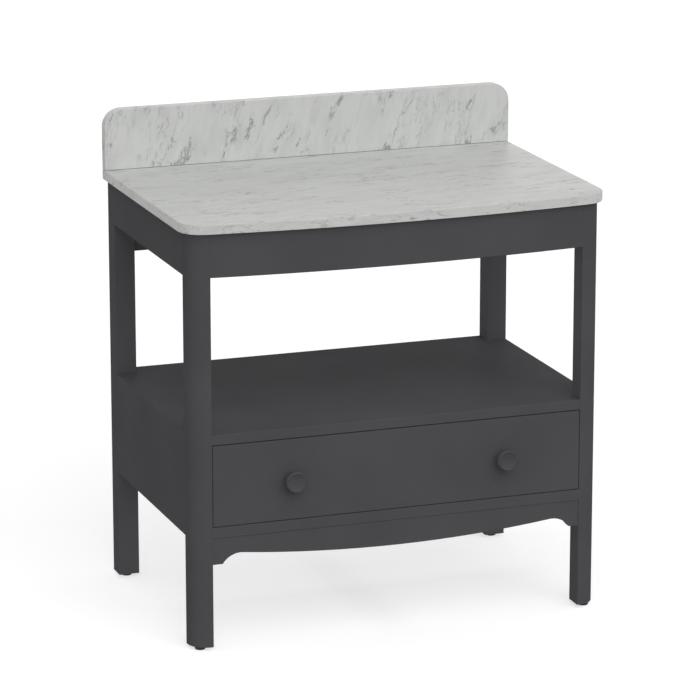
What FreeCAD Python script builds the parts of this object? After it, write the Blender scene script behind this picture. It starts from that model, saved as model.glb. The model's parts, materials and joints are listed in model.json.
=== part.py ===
"""Bow-fronted washstand: a painted timber frame with an open shelf, one drawer and a marble top.

Millimetres. X runs from left to right for someone facing the unit, Y from front to back, Z upwards.
The origin is on the floor, under the middle of the whole unit.
"""
import FreeCAD, Part
import math
import os

# Frame, measured over the outsides of the legs
FRAME_WIDTH = 840.0
FRAME_DEPTH = 534.0
LEG_SIZE = 42.0
LEG_HEIGHT = 814.0
LEG_CORNER_RADIUS = 38.0
EDGE_EASE = 1.5
JOINT_EASE = 0.5

# Glides under the legs
FOOT_DIAMETER = 21.0
FOOT_HEIGHT = 7.0
FOOT_ROUND = 2.0
NAIL_DIAMETER = 3.2
NAIL_HEAD_DIAMETER = 9.0
NAIL_HEAD_THICK = 1.2
NAIL_HEAD_LIFT = 3.0
NAIL_LENGTH = 22.0

# Top rails and their tenons
RAIL_THICK = 22.0
RAIL_HEIGHT = 86.0
BACK_RAIL_HEIGHT = 147.0
BOW = 22.0
TENON_INSET = 8.0
TENON_THICK = 10.0
TENON_SHOULDER = 10.0
TENON_TIP_GAP = 6.0
MORTISE_SPARE = 1.0
GLUE_GAP = 0.1
WALL_HOLE_DIAMETER = 7.0
WALL_HOLE_SPACING = 500.0

# Corner blocks inside the top frame, with the silicone pads that bed the marble
BLOCK_REACH = 100.0
BLOCK_HEIGHT = 40.0
BLOCK_SCREW_SEAT = 12.0
BLOCK_SCREW_BITE = 14.0
PAD_SIZE = 28.0
PAD_THICK = 1.5

# Shelf, bottom board, panels and shaped apron
BOARD_HEIGHT = 217.0
BOARD_THICK = 22.0
DRAWER_BAY = 163.0
SHELF_THICK = 20.0
PANEL_THICK = 18.0
BACK_PANEL_THICK = 9.0
BACK_PANEL_INSET = 6.0
TONGUE_THICK = 8.0
TONGUE_DEPTH = 8.0
DOWEL_DIAMETER = 8.0
DOWEL_LENGTH = 30.0
DOWEL_IN_PANEL = 10.0
DOWEL_SHARES = (0.12, 0.5, 0.88)
APRON_THICK = 18.0
APRON_SETBACK = 1.5
APRON_END_DEPTH = 52.0
APRON_CREST_DEPTH = 32.5
APRON_CENTRE_DEPTH = 51.0
COVE_RADIUS = 43.0
COVE_OFFSET = 56.0
GLUE_BLOCK_SIZE = 20.0
GLUE_BLOCK_LENGTH = 90.0
GLUE_BLOCK_SHARES = (-0.6, 0.0, 0.6)

# Drawer front and box
DRAWER_TOP_GAP = 2.0
DRAWER_SIDE_GAP = 1.2
DRAWER_FOOT_GAP = 1.2
FRONT_THICK = 20.0
BOX_HEIGHT = 120.0
BOX_LIFT = 14.0
BOX_REAR_GAP = 49.0
BOX_SIDE_THICK = 12.0
HOUSING_DEPTH = 4.0
BOX_BOTTOM_THICK = 6.0
BOX_BOTTOM_RISE = 10.0
BOTTOM_GROOVE_DEPTH = 5.0
BOTTOM_GROOVE_SPARE = 0.5

# Telescopic runners
RUNNER_WIDTH = 12.7
RUNNER_HEIGHT = 45.0
RUNNER_SHEET = 1.2
RUNNER_GAP = 0.4
RUNNER_LIP_GAP = 0.5
RUNNER_SETBACK = 2.0
RUNNER_CENTRE_RISE = 46.0
INNER_FLANGE_DEPTH = 7.0
PACKER_HEIGHT = 64.0
RUNNER_SCREW_SHARES = (0.16, 0.5, 0.84)

# Turned knobs
KNOB_SPACING = 434.0
KNOB_DIAMETER = 42.0
KNOB_REACH = 28.0
KNOB_BASE_DIAMETER = 25.0
KNOB_BASE_THICK = 2.5
KNOB_NECK_DIAMETER = 18.0
KNOB_NECK_END = 9.0
KNOB_RIM_DEPTH = 6.5
KNOB_RIM_WIDTH = 2.5
KNOB_DISH = 6.0
KNOB_SCREW_BITE = 15.0

# Wood screws used in the frame, the drawer and the runners
SCREW_DIAMETER = 4.0
SCREW_HEAD_DIAMETER = 8.0
SCREW_HEAD_THICK = 1.8
SCREW_HOLE_GAP = 0.1
RUNNER_SCREW_BITE = 9.0
FRONT_SCREW_BITE = 12.0
FRONT_SCREW_SHARES = (-0.82, -0.28, 0.28, 0.82)

# Marble
WORKTOP_THICK = 20.0
WORKTOP_OVERHANG = 10.0
WORKTOP_EASE = 2.5
WORKTOP_UNDER_EASE = 1.0
UPSTAND_HEIGHT = 121.0
UPSTAND_THICK = 20.0
UPSTAND_CORNER_RADIUS = 36.0
UPSTAND_EASE = 1.5
SEAL_THICK = 1.0
SEAL_INSET = 1.2

# How far a cutter runs past what it cuts, and how close counts as the same place
OVERRUN = 5.0
NEAR = 0.01

# Places worked out from the sizes above
frame_half = FRAME_WIDTH / 2
leg_inner = frame_half - LEG_SIZE
rail_inner = frame_half - RAIL_THICK
panel_inner = frame_half - PANEL_THICK
unit_depth = FRAME_DEPTH + WORKTOP_OVERHANG + BOW
frame_back = unit_depth / 2
frame_front = frame_back - FRAME_DEPTH
panel_front = frame_front + LEG_SIZE
panel_back = frame_back - LEG_SIZE
leg_bottom = FOOT_HEIGHT
leg_top = leg_bottom + LEG_HEIGHT
rail_bottom = leg_top - RAIL_HEIGHT
back_rail_bottom = leg_top - BACK_RAIL_HEIGHT
tenon_length = LEG_SIZE - TENON_INSET - TENON_THICK - TENON_TIP_GAP
leg_radius = min(LEG_CORNER_RADIUS, LEG_SIZE - EDGE_EASE)
board_bottom = leg_bottom + BOARD_HEIGHT
board_top = board_bottom + BOARD_THICK
shelf_bottom = board_top + DRAWER_BAY
shelf_top = shelf_bottom + SHELF_THICK
back_panel_back = frame_back - BACK_PANEL_INSET
back_panel_front = back_panel_back - BACK_PANEL_THICK
front_half = leg_inner - DRAWER_SIDE_GAP
front_bottom = board_top + DRAWER_FOOT_GAP
front_top = shelf_bottom - DRAWER_TOP_GAP
front_back = frame_front + FRONT_THICK
box_half = leg_inner - RUNNER_WIDTH
box_inner = box_half - BOX_SIDE_THICK
box_back = back_panel_front - BOX_REAR_GAP
box_bottom = board_top + BOX_LIFT
box_top = box_bottom + BOX_HEIGHT
runner_start = front_back + RUNNER_SETBACK
runner_centre = box_bottom + RUNNER_CENTRE_RISE
knob_height = (front_bottom + front_top) / 2
worktop_half = frame_half + WORKTOP_OVERHANG
worktop_top = leg_top + WORKTOP_THICK
bow_radius = (leg_inner ** 2 + BOW ** 2) / (2 * BOW)
bow_centre = frame_front - BOW + bow_radius


def point(x, y, z):
    """A point of the unit."""
    return FreeCAD.Vector(x, y, z)


def block(x1, x2, y1, y2, z1, z2):
    """A rectangular block between two opposite corners, given in any order."""
    low = point(min(x1, x2), min(y1, y2), min(z1, z2))
    return Part.makeBox(abs(x2 - x1), abs(y2 - y1), abs(z2 - z1), low)


def rod(radius, start, direction, length):
    """A round bar from a point along a direction."""
    return Part.makeCylinder(radius, length, start, direction)


def line(a, b):
    """A straight edge."""
    return Part.LineSegment(a, b).toShape()


def arc(a, middle, b):
    """A round edge through three points."""
    return Part.Arc(a, middle, b).toShape()


def prism(edges, lift):
    """A solid with the outline of a closed chain of edges, drawn out along lift."""
    return Part.Face(Part.Wire(edges)).extrude(lift)


def polygon_prism(corners, height, bottom):
    """An upright solid with straight sides, from its corners in plan."""
    ring = [point(x, y, bottom) for x, y in corners]
    edges = [line(a, b) for a, b in zip(ring, ring[1:] + ring[:1])]
    return prism(edges, point(0, 0, height))


def lies_at(edge, x=None, y=None, z=None):
    """Whether a whole edge lies in the planes that are given."""
    box = edge.BoundBox
    spans = ((x, box.XMin, box.XMax), (y, box.YMin, box.YMax), (z, box.ZMin, box.ZMax))
    return all(w is None or (abs(a - w) < NEAR and abs(b - w) < NEAR) for w, a, b in spans)


def ease(shape, radius, **planes):
    """The shape with the edges that lie in the given planes rounded over."""
    return shape.makeFillet(radius, [e for e in shape.Edges if lies_at(e, **planes)])


def bow_line(half, offset, height):
    """The bowed line in plan, offset forwards from the rail's face, as ends and middle."""
    radius = bow_radius + offset
    end = bow_centre - math.sqrt(radius ** 2 - half ** 2)
    return point(-half, end, height), point(0, bow_centre - radius, height), point(half, end, height)


def bow_at(x, offset):
    """How far back the bowed line lies at a place along the rail."""
    return bow_centre - math.sqrt((bow_radius + offset) ** 2 - x ** 2)


def tenon_across(side, front, bottom, top, spare=0.0):
    """The tenon of a rail that runs across the unit, or with spare room its mortise in the leg."""
    face, inward = (frame_front, 1) if front else (frame_back, -1)
    cheek = spare and GLUE_GAP
    near = face + inward * (TENON_INSET - cheek)
    far = face + inward * (TENON_INSET + TENON_THICK + cheek)
    root = side * (leg_inner - (spare and OVERRUN))
    tip = side * (leg_inner + tenon_length + spare)
    return block(root, tip, near, far, bottom + TENON_SHOULDER - cheek, top - TENON_SHOULDER + cheek)


def tenon_along(side, front, bottom, top, spare=0.0):
    """The tenon of a rail that runs from front to back, or with spare room its mortise in the leg."""
    shoulder, outward = (panel_front, -1) if front else (panel_back, 1)
    cheek = spare and GLUE_GAP
    near = side * (frame_half - TENON_INSET + cheek)
    far = side * (frame_half - TENON_INSET - TENON_THICK - cheek)
    root = shoulder - outward * (spare and OVERRUN)
    tip = shoulder + outward * (tenon_length + spare)
    return block(near, far, root, tip, bottom + TENON_SHOULDER - cheek, top - TENON_SHOULDER + cheek)


def panel_tongue(side, front, spare=0.0):
    """The tongue on a side panel's end, or with spare room its groove in the leg."""
    shoulder, outward = (panel_front, -1) if front else (panel_back, 1)
    middle = (frame_half + panel_inner) / 2
    half = TONGUE_THICK / 2 + spare
    root = shoulder - outward * (spare and OVERRUN)
    tip = shoulder + outward * (TONGUE_DEPTH + spare)
    low, high = board_bottom - spare, shelf_top + spare
    return block(side * (middle - half), side * (middle + half), root, tip, low, high)


def apron_tongue(side, spare=0.0):
    """The stub tenon on an end of the apron, or with spare room its mortise in the leg."""
    middle = frame_front + APRON_SETBACK + APRON_THICK / 2
    half = TONGUE_THICK / 2 + spare
    root = side * (leg_inner - (spare and OVERRUN))
    tip = side * (leg_inner + TONGUE_DEPTH + spare)
    low = board_bottom - APRON_END_DEPTH + TENON_SHOULDER - spare
    return block(root, tip, middle - half, middle + half, low, board_bottom - TENON_SHOULDER + spare)


def back_panel_shape(spare=0.0):
    """The panel behind the drawer, or with spare room the grooves that hold its edges."""
    half = leg_inner + TONGUE_DEPTH + spare
    return block(-half, half, back_panel_front - spare, back_panel_back + spare, board_top, shelf_bottom)


def leg_place(side, front):
    """The middle of a leg in plan."""
    inset = LEG_SIZE / 2
    return side * (frame_half - inset), frame_front + inset if front else frame_back - inset


def leg(side, front):
    """One leg. The outer corner of a front leg is almost a quarter round."""
    outer, inner = side * frame_half, side * leg_inner
    outside, inside = (frame_front, panel_front) if front else (frame_back, panel_back)
    post = block(outer, inner, outside, inside, leg_bottom, leg_top)
    post = ease(post, leg_radius if front else EDGE_EASE, x=outer, y=outside)
    post = ease(post, JOINT_EASE, x=inner, y=outside)
    post = ease(post, JOINT_EASE, x=outer, y=inside)
    post = ease(post, EDGE_EASE, x=inner, y=inside)
    post = ease(post, JOINT_EASE, z=leg_bottom)
    bottom = rail_bottom if front else back_rail_bottom
    post = post.cut(tenon_across(side, front, bottom, leg_top, MORTISE_SPARE))
    post = post.cut(tenon_along(side, front, rail_bottom, leg_top, MORTISE_SPARE))
    post = post.cut(panel_tongue(side, front, GLUE_GAP))
    post = post.cut(apron_tongue(side, GLUE_GAP) if front else back_panel_shape(GLUE_GAP))
    x, y = leg_place(side, front)
    hole = NAIL_DIAMETER / 2 + SCREW_HOLE_GAP
    return post.cut(rod(hole, point(x, y, 0), point(0, 0, 1), NAIL_HEAD_LIFT + NAIL_LENGTH + OVERRUN))


def glide_nail(side, front, gap=0.0):
    """The nail that holds a glide in its leg, with its head moulded into the glide."""
    x, y = leg_place(side, front)
    up = point(0, 0, 1)
    under_head = point(x, y, NAIL_HEAD_LIFT - gap)
    head = rod(NAIL_HEAD_DIAMETER / 2 + gap, under_head, up, NAIL_HEAD_THICK + 2 * gap)
    shank = rod(NAIL_DIAMETER / 2 + gap, point(x, y, NAIL_HEAD_LIFT), up, NAIL_LENGTH)
    return head.fuse(shank).removeSplitter()


def glide(side, front):
    """A round plastic glide under a leg."""
    x, y = leg_place(side, front)
    puck = rod(FOOT_DIAMETER / 2, point(x, y, 0), point(0, 0, 1), FOOT_HEIGHT)
    puck = ease(puck, FOOT_ROUND, z=0)
    return puck.cut(glide_nail(side, front, GLUE_GAP))


def rail_front():
    """The bowed front rail: an even thickness bent to a shallow arc, tenoned into the legs."""
    left, middle, right = bow_line(leg_inner, 0.0, rail_bottom)
    inner_left, inner_middle, inner_right = bow_line(leg_inner, -RAIL_THICK, rail_bottom)
    outline = [arc(left, middle, right), line(right, inner_right)]
    outline += [arc(inner_right, inner_middle, inner_left), line(inner_left, left)]
    rail = prism(outline, point(0, 0, RAIL_HEIGHT))

    def lower_arc(end):
        low = [e for e in rail.Edges if lies_at(e, z=rail_bottom)]
        return [e for e in low if all(abs(v.Y - end.y) < NEAR for v in e.Vertexes)]

    rail = rail.makeFillet(EDGE_EASE, lower_arc(left))
    rail = rail.makeChamfer(EDGE_EASE, lower_arc(inner_left))
    for side in (-1, 1):
        rail = rail.fuse(tenon_across(side, True, rail_bottom, leg_top))
    return rail.removeSplitter()


def wall_hole(side):
    """One of the holes through which the back rail is screwed to the wall."""
    centre = point(side * WALL_HOLE_SPACING / 2, frame_back + OVERRUN, (back_rail_bottom + leg_top) / 2)
    return rod(WALL_HOLE_DIAMETER / 2, centre, point(0, -1, 0), RAIL_THICK + 2 * OVERRUN)


def rail_back():
    """The deep back rail, with two holes for wall screws."""
    rail = block(-leg_inner, leg_inner, frame_back - RAIL_THICK, frame_back, back_rail_bottom, leg_top)
    rail = ease(rail, EDGE_EASE, y=frame_back - RAIL_THICK, z=back_rail_bottom)
    for side in (-1, 1):
        rail = rail.fuse(tenon_across(side, False, back_rail_bottom, leg_top))
        rail = rail.cut(wall_hole(side))
    return rail.removeSplitter()


def rail_side(side):
    """A straight rail between the front and back legs, flush with their outer faces."""
    outer, inner = side * frame_half, side * rail_inner
    rail = block(outer, inner, panel_front, panel_back, rail_bottom, leg_top)
    rail = ease(rail, EDGE_EASE, x=outer, z=rail_bottom)
    rail = ease(rail, EDGE_EASE, x=inner, z=rail_bottom)
    for front in (True, False):
        rail = rail.fuse(tenon_along(side, front, rail_bottom, leg_top))
    return rail.removeSplitter()


def screw(seat, direction, bite):
    """A pan-head screw: the underside of its head lies at seat and its shank runs along direction."""
    shank = rod(SCREW_DIAMETER / 2, seat, direction, bite)
    head = rod(SCREW_HEAD_DIAMETER / 2, seat - direction * SCREW_HEAD_THICK, direction, SCREW_HEAD_THICK)
    return head.fuse(shank).removeSplitter()


def screw_hole(seat, direction, bite):
    """The hole that a screw's shank fills."""
    start = seat - direction * OVERRUN
    return rod(SCREW_DIAMETER / 2 + SCREW_HOLE_GAP, start, direction, bite + OVERRUN + MORTISE_SPARE)


def head_bore(seat, direction, length):
    """The wide bore above a sunk screw head."""
    return rod(SCREW_HEAD_DIAMETER / 2 + SCREW_HOLE_GAP, seat, direction * -1, length)


def block_screws(side, front):
    """Seat and direction of the two screws that pull a corner block to its rails."""
    height = leg_top - PAD_THICK - BLOCK_HEIGHT / 2
    reach = (BLOCK_REACH + LEG_SIZE - RAIL_THICK) / 2
    across = side * (rail_inner - reach)
    inward = 1 if front else -1
    face = bow_at(across, -RAIL_THICK) if front else frame_back - RAIL_THICK
    corner = frame_front + RAIL_THICK if front else frame_back - RAIL_THICK
    into_rail = (point(across, face + inward * BLOCK_SCREW_SEAT, height), point(0, -inward, 0))
    seat_x = side * (rail_inner - BLOCK_SCREW_SEAT)
    into_side = (point(seat_x, corner + inward * reach, height), point(side, 0, 0))
    return into_rail, into_side


def rail_zone():
    """Everything in front of the bowed rail's inner face, less a glue line."""
    half = frame_half
    bottom = rail_bottom - OVERRUN
    left, middle, right = bow_line(half, -RAIL_THICK - GLUE_GAP, bottom)
    far = frame_front - BOW - WORKTOP_OVERHANG
    far_left, far_right = point(-half, far, bottom), point(half, far, bottom)
    edges = [arc(left, middle, right), line(right, far_right)]
    edges += [line(far_right, far_left), line(far_left, left)]
    return prism(edges, point(0, 0, RAIL_HEIGHT + OVERRUN))


def corner_block(side, front):
    """A three-cornered block glued and screwed across an inside corner of the top frame."""
    inward = 1 if front else -1
    rail_y = frame_front + RAIL_THICK if front else frame_back - RAIL_THICK
    leg_y = panel_front if front else panel_back
    start_y = rail_y - BOW if front else rail_y
    corners = [
        (side * rail_inner, leg_y),
        (side * rail_inner, rail_y + inward * BLOCK_REACH),
        (side * (rail_inner - BLOCK_REACH), rail_y),
        (side * (rail_inner - BLOCK_REACH), start_y),
        (side * leg_inner, start_y),
        (side * leg_inner, leg_y),
    ]
    if not front:
        corners.pop(3)
    wedge = polygon_prism(corners, BLOCK_HEIGHT, leg_top - PAD_THICK - BLOCK_HEIGHT)
    if front:
        wedge = wedge.cut(rail_zone())
    for seat, direction in block_screws(side, front):
        wedge = wedge.cut(screw_hole(seat, direction, BLOCK_SCREW_SEAT + BLOCK_SCREW_BITE))
        wedge = wedge.cut(head_bore(seat, direction, BLOCK_REACH))
    return wedge


def drilled_for_blocks(rail):
    """A rail with the pilot holes of the corner blocks' screws."""
    for side in (-1, 1):
        for front in (True, False):
            for seat, direction in block_screws(side, front):
                rail = rail.cut(screw_hole(seat, direction, BLOCK_SCREW_SEAT + BLOCK_SCREW_BITE))
    return rail


def worktop_pad(side, front):
    """A silicone pad between a corner block and the marble."""
    inward = 1 if front else -1
    leg_y = panel_front if front else panel_back
    near = side * leg_inner
    return block(near, near - side * PAD_SIZE, leg_y, leg_y + inward * PAD_SIZE, leg_top - PAD_THICK, leg_top)


def board_outline():
    """Outline of the shelf and of the bottom board: notched round the four legs."""
    right = [
        (leg_inner, frame_front),
        (leg_inner, panel_front),
        (panel_inner, panel_front),
        (panel_inner, panel_back),
        (leg_inner, panel_back),
        (leg_inner, frame_back),
    ]
    return right + [(-x, y) for x, y in reversed(right)]


def board(bottom, thickness, under_ease):
    """A board across the whole unit, with its front edges eased."""
    panel = polygon_prism(board_outline(), thickness, bottom)
    panel = ease(panel, EDGE_EASE, y=frame_front, z=bottom + thickness)
    panel = ease(panel, under_ease, y=frame_front, z=bottom)
    return drilled_for_dowels(panel)


def dowel_places():
    """Side, depth and height of every dowel between the side panels and the two boards."""
    span = panel_back - panel_front
    heights = (board_bottom + BOARD_THICK / 2, shelf_bottom + SHELF_THICK / 2)
    return [
        (side, panel_front + share * span, height)
        for side in (-1, 1)
        for height in heights
        for share in DOWEL_SHARES
    ]


def dowel(side, y, height, spare=0.0):
    """One dowel, or with spare room the hole that it fills."""
    start = point(side * (panel_inner + DOWEL_IN_PANEL + spare), y, height)
    return rod(DOWEL_DIAMETER / 2 + spare, start, point(-side, 0, 0), DOWEL_LENGTH + 2 * spare)


def drilled_for_dowels(panel):
    """A panel or board with its dowel holes."""
    for side, y, height in dowel_places():
        panel = panel.cut(dowel(side, y, height, GLUE_GAP))
    return panel


def side_panel(side):
    """A panel between the legs, flush with their outer faces and tongued into them."""
    outer = side * frame_half
    panel = block(outer, side * panel_inner, panel_front, panel_back, board_bottom, shelf_top)
    panel = ease(panel, EDGE_EASE, x=outer, z=board_bottom)
    panel = ease(panel, EDGE_EASE, x=outer, z=shelf_top)
    for front in (True, False):
        panel = panel.fuse(panel_tongue(side, front))
    return drilled_for_dowels(panel.removeSplitter())


def apron_front():
    """The shaped apron: a flat beside each leg, a cove, then one long shallow curve to the middle."""
    cove_x = leg_inner - COVE_OFFSET
    flat_z = board_bottom - APRON_END_DEPTH
    cove_z = board_bottom - APRON_CREST_DEPTH - COVE_RADIUS
    low_z = board_bottom - APRON_CENTRE_DEPTH
    drop = APRON_CENTRE_DEPTH - APRON_CREST_DEPTH
    rise = low_z - cove_z
    lobe_radius = (cove_x ** 2 + rise ** 2 - COVE_RADIUS ** 2) / (2 * drop)
    lobe_z = low_z + lobe_radius
    flat_end = cove_x + math.sqrt(COVE_RADIUS ** 2 - (flat_z - cove_z) ** 2)
    share = COVE_RADIUS / (COVE_RADIUS + lobe_radius)
    meet_x = cove_x - cove_x * share
    meet_z = cove_z + (lobe_z - cove_z) * share
    start_turn = math.atan2(flat_z - cove_z, flat_end - cove_x)
    end_turn = math.atan2(meet_z - cove_z, meet_x - cove_x)
    half_turn = (start_turn + end_turn) / 2
    mid_x = cove_x + COVE_RADIUS * math.cos(half_turn)
    mid_z = cove_z + COVE_RADIUS * math.sin(half_turn)
    near = frame_front + APRON_SETBACK

    def at(x, z):
        return point(x, near, z)

    edges = [
        line(at(-leg_inner, board_bottom), at(leg_inner, board_bottom)),
        line(at(leg_inner, board_bottom), at(leg_inner, flat_z)),
        line(at(leg_inner, flat_z), at(flat_end, flat_z)),
        arc(at(flat_end, flat_z), at(mid_x, mid_z), at(meet_x, meet_z)),
        arc(at(meet_x, meet_z), at(0, low_z), at(-meet_x, meet_z)),
        arc(at(-meet_x, meet_z), at(-mid_x, mid_z), at(-flat_end, flat_z)),
        line(at(-flat_end, flat_z), at(-leg_inner, flat_z)),
        line(at(-leg_inner, flat_z), at(-leg_inner, board_bottom)),
    ]
    apron = prism(edges, point(0, APRON_THICK, 0))
    for side in (-1, 1):
        apron = apron.fuse(apron_tongue(side))
    return apron.removeSplitter()


def glue_blocks():
    """Short square blocks rubbed into the corner between the apron and the bottom board."""
    near = frame_front + APRON_SETBACK + APRON_THICK
    half = GLUE_BLOCK_LENGTH / 2
    made = []
    for share in GLUE_BLOCK_SHARES:
        x = share * leg_inner
        top = board_bottom
        made.append(block(x - half, x + half, near, near + GLUE_BLOCK_SIZE, top - GLUE_BLOCK_SIZE, top))
    return Part.makeCompound(made)


def runner_packer(side):
    """A batten on the side panel that brings the runner level with the legs' inner faces."""
    half = PACKER_HEIGHT / 2
    low, high = runner_centre - half, runner_centre + half
    packer = block(side * panel_inner, side * leg_inner, panel_front, panel_back, low, high)
    for seat, direction in runner_screws(side, True):
        packer = packer.cut(screw_hole(seat, direction, RUNNER_SCREW_BITE))
    return packer


def channel(side, plate, lip, half_height):
    """A folded runner channel: an upright plate with a flange along its top and its bottom."""
    plate_x = side * (leg_inner - plate)
    towards = -side if lip > plate else side
    plate_far = plate_x + towards * RUNNER_SHEET
    lip_x = side * (leg_inner - lip)
    low, high = runner_centre - half_height, runner_centre + half_height
    web = block(plate_x, plate_far, runner_start, box_back, low, high)
    bottom = block(plate_x, lip_x, runner_start, box_back, low, low + RUNNER_SHEET)
    top = block(plate_x, lip_x, runner_start, box_back, high - RUNNER_SHEET, high)
    return web.fuse(bottom).fuse(top).removeSplitter()


outer_half = RUNNER_HEIGHT / 2
middle_half = outer_half - RUNNER_SHEET - RUNNER_GAP
inner_half = middle_half - RUNNER_SHEET - RUNNER_GAP
middle_plate = RUNNER_SHEET + SCREW_HEAD_THICK + RUNNER_GAP
lip_end = RUNNER_WIDTH - RUNNER_SHEET - RUNNER_LIP_GAP


def runner_screws(side, cabinet):
    """Seat and direction of the screws through one runner member, on the cabinet or on the drawer."""
    span = box_back - runner_start
    offset = RUNNER_SHEET if cabinet else RUNNER_WIDTH - RUNNER_SHEET
    outward = side if cabinet else -side
    x = side * (leg_inner - offset)
    places = [runner_start + share * span for share in RUNNER_SCREW_SHARES]
    return [(point(x, y, runner_centre), point(outward, 0, 0)) for y in places]


def runner_outer(side):
    """The runner member that is screwed to the cabinet."""
    member = channel(side, 0.0, lip_end, outer_half)
    for seat, direction in runner_screws(side, True):
        member = member.cut(screw_hole(seat, direction, RUNNER_SCREW_BITE))
    return member


def runner_middle(side):
    """The runner member that travels half as far as the drawer."""
    return channel(side, middle_plate, lip_end, middle_half)


def runner_inner(side):
    """The runner member that is screwed to the drawer's side."""
    member = channel(side, RUNNER_WIDTH, RUNNER_WIDTH - INNER_FLANGE_DEPTH, inner_half)
    for seat, direction in runner_screws(side, False):
        member = member.cut(screw_hole(seat, direction, RUNNER_SCREW_BITE))
    return member


def screw_group(places, bite):
    """Identical screws as separate solids."""
    return Part.makeCompound([screw(seat, direction, bite) for seat, direction in places])


def front_screws():
    """Seat and direction of the screws from the drawer box into the drawer front."""
    height = (box_bottom + box_top) / 2
    inner_face = front_back + BOX_SIDE_THICK
    return [(point(share * box_inner, inner_face, height), point(0, -1, 0)) for share in FRONT_SCREW_SHARES]


def knob_screws():
    """Seat and direction of the screws that hold the knobs."""
    inner_face = front_back + BOX_SIDE_THICK
    half = KNOB_SPACING / 2
    return [(point(side * half, inner_face, knob_height), point(0, -1, 0)) for side in (-1, 1)]


front_screw_length = BOX_SIDE_THICK + FRONT_SCREW_BITE
knob_screw_length = BOX_SIDE_THICK + FRONT_THICK + KNOB_SCREW_BITE


def drilled_front(piece):
    """The drawer front or the box front with its screw holes."""
    for seat, direction in front_screws():
        piece = piece.cut(screw_hole(seat, direction, front_screw_length))
    for seat, direction in knob_screws():
        piece = piece.cut(screw_hole(seat, direction, knob_screw_length))
    return piece


def drawer_front():
    """The inset drawer front, flush with the legs."""
    panel = block(-front_half, front_half, frame_front, front_back, front_bottom, front_top)
    return drilled_front(ease(panel, EDGE_EASE, y=frame_front))


def drawer_bottom(spare=0.0):
    """The drawer's bottom panel, or with spare room the groove all round that holds it."""
    half = box_inner + BOTTOM_GROOVE_DEPTH - BOTTOM_GROOVE_SPARE + spare
    near = front_back + BOX_SIDE_THICK - BOTTOM_GROOVE_DEPTH + BOTTOM_GROOVE_SPARE - spare
    far = box_back - BOX_SIDE_THICK + BOTTOM_GROOVE_DEPTH - BOTTOM_GROOVE_SPARE + spare
    low = box_bottom + BOX_BOTTOM_RISE
    slack = spare and GLUE_GAP
    return block(-half, half, near, far, low - slack, low + BOX_BOTTOM_THICK + slack)


def box_end(near):
    """The front or the back of the drawer box, let into housings in the sides."""
    half = box_inner + HOUSING_DEPTH
    return block(-half, half, near, near + BOX_SIDE_THICK, box_bottom, box_top)


def drawer_box_front():
    """The inner front of the drawer box."""
    panel = ease(box_end(front_back), EDGE_EASE, y=front_back + BOX_SIDE_THICK, z=box_top)
    return drilled_front(panel.cut(drawer_bottom(BOTTOM_GROOVE_SPARE)))


def drawer_back():
    """The back of the drawer box."""
    panel = box_end(box_back - BOX_SIDE_THICK)
    for face in (box_back - BOX_SIDE_THICK, box_back):
        panel = ease(panel, EDGE_EASE, y=face, z=box_top)
    return panel.cut(drawer_bottom(BOTTOM_GROOVE_SPARE))


def drawer_side(side):
    """A side of the drawer box, housed for its ends and grooved for the bottom."""
    panel = block(side * box_inner, side * box_half, front_back, box_back, box_bottom, box_top)
    for face in (box_inner, box_half):
        panel = ease(panel, EDGE_EASE, x=side * face, z=box_top)
    panel = panel.cut(box_end(front_back)).cut(box_end(box_back - BOX_SIDE_THICK))
    panel = panel.cut(drawer_bottom(BOTTOM_GROOVE_SPARE))
    for seat, direction in runner_screws(side, False):
        panel = panel.cut(screw_hole(seat, direction, RUNNER_SCREW_BITE))
    return panel


def knob(side):
    """A turned knob with a base, a waisted neck and a dished face."""
    centre_x = side * KNOB_SPACING / 2
    base, neck, head = KNOB_BASE_DIAMETER / 2, KNOB_NECK_DIAMETER / 2, KNOB_DIAMETER / 2
    widest = KNOB_REACH - KNOB_RIM_DEPTH
    rim = head - KNOB_RIM_WIDTH
    bulge_share = math.sqrt(0.5)
    dish_radius = (rim ** 2 + KNOB_DISH ** 2) / (2 * KNOB_DISH)
    half_way = rim / 2
    bowl_out = KNOB_REACH - KNOB_DISH + dish_radius - math.sqrt(dish_radius ** 2 - half_way ** 2)

    def at(radius, out):
        return point(centre_x + radius, frame_front - out, knob_height)

    start, base_edge, base_top = at(0, 0), at(base, 0), at(base, KNOB_BASE_THICK)
    waist = at(neck, (KNOB_BASE_THICK + KNOB_NECK_END) / 2)
    throat = at(base, KNOB_NECK_END)
    swell = at(base + (head - base) * bulge_share, widest - (widest - KNOB_NECK_END) * bulge_share)
    edge = at(head, widest)
    crown = at(rim + KNOB_RIM_WIDTH * bulge_share, widest + KNOB_RIM_DEPTH * bulge_share)
    lip, bowl, floor = at(rim, KNOB_REACH), at(half_way, bowl_out), at(0, KNOB_REACH - KNOB_DISH)
    edges = [line(start, base_edge), line(base_edge, base_top), arc(base_top, waist, throat)]
    edges += [arc(throat, swell, edge), arc(edge, crown, lip)]
    edges += [arc(lip, bowl, floor), line(floor, start)]
    turned = Part.Face(Part.Wire(edges)).revolve(start, point(0, 1, 0), 360)
    for seat, direction in knob_screws():
        turned = turned.cut(screw_hole(seat, direction, knob_screw_length))
    return turned


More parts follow.
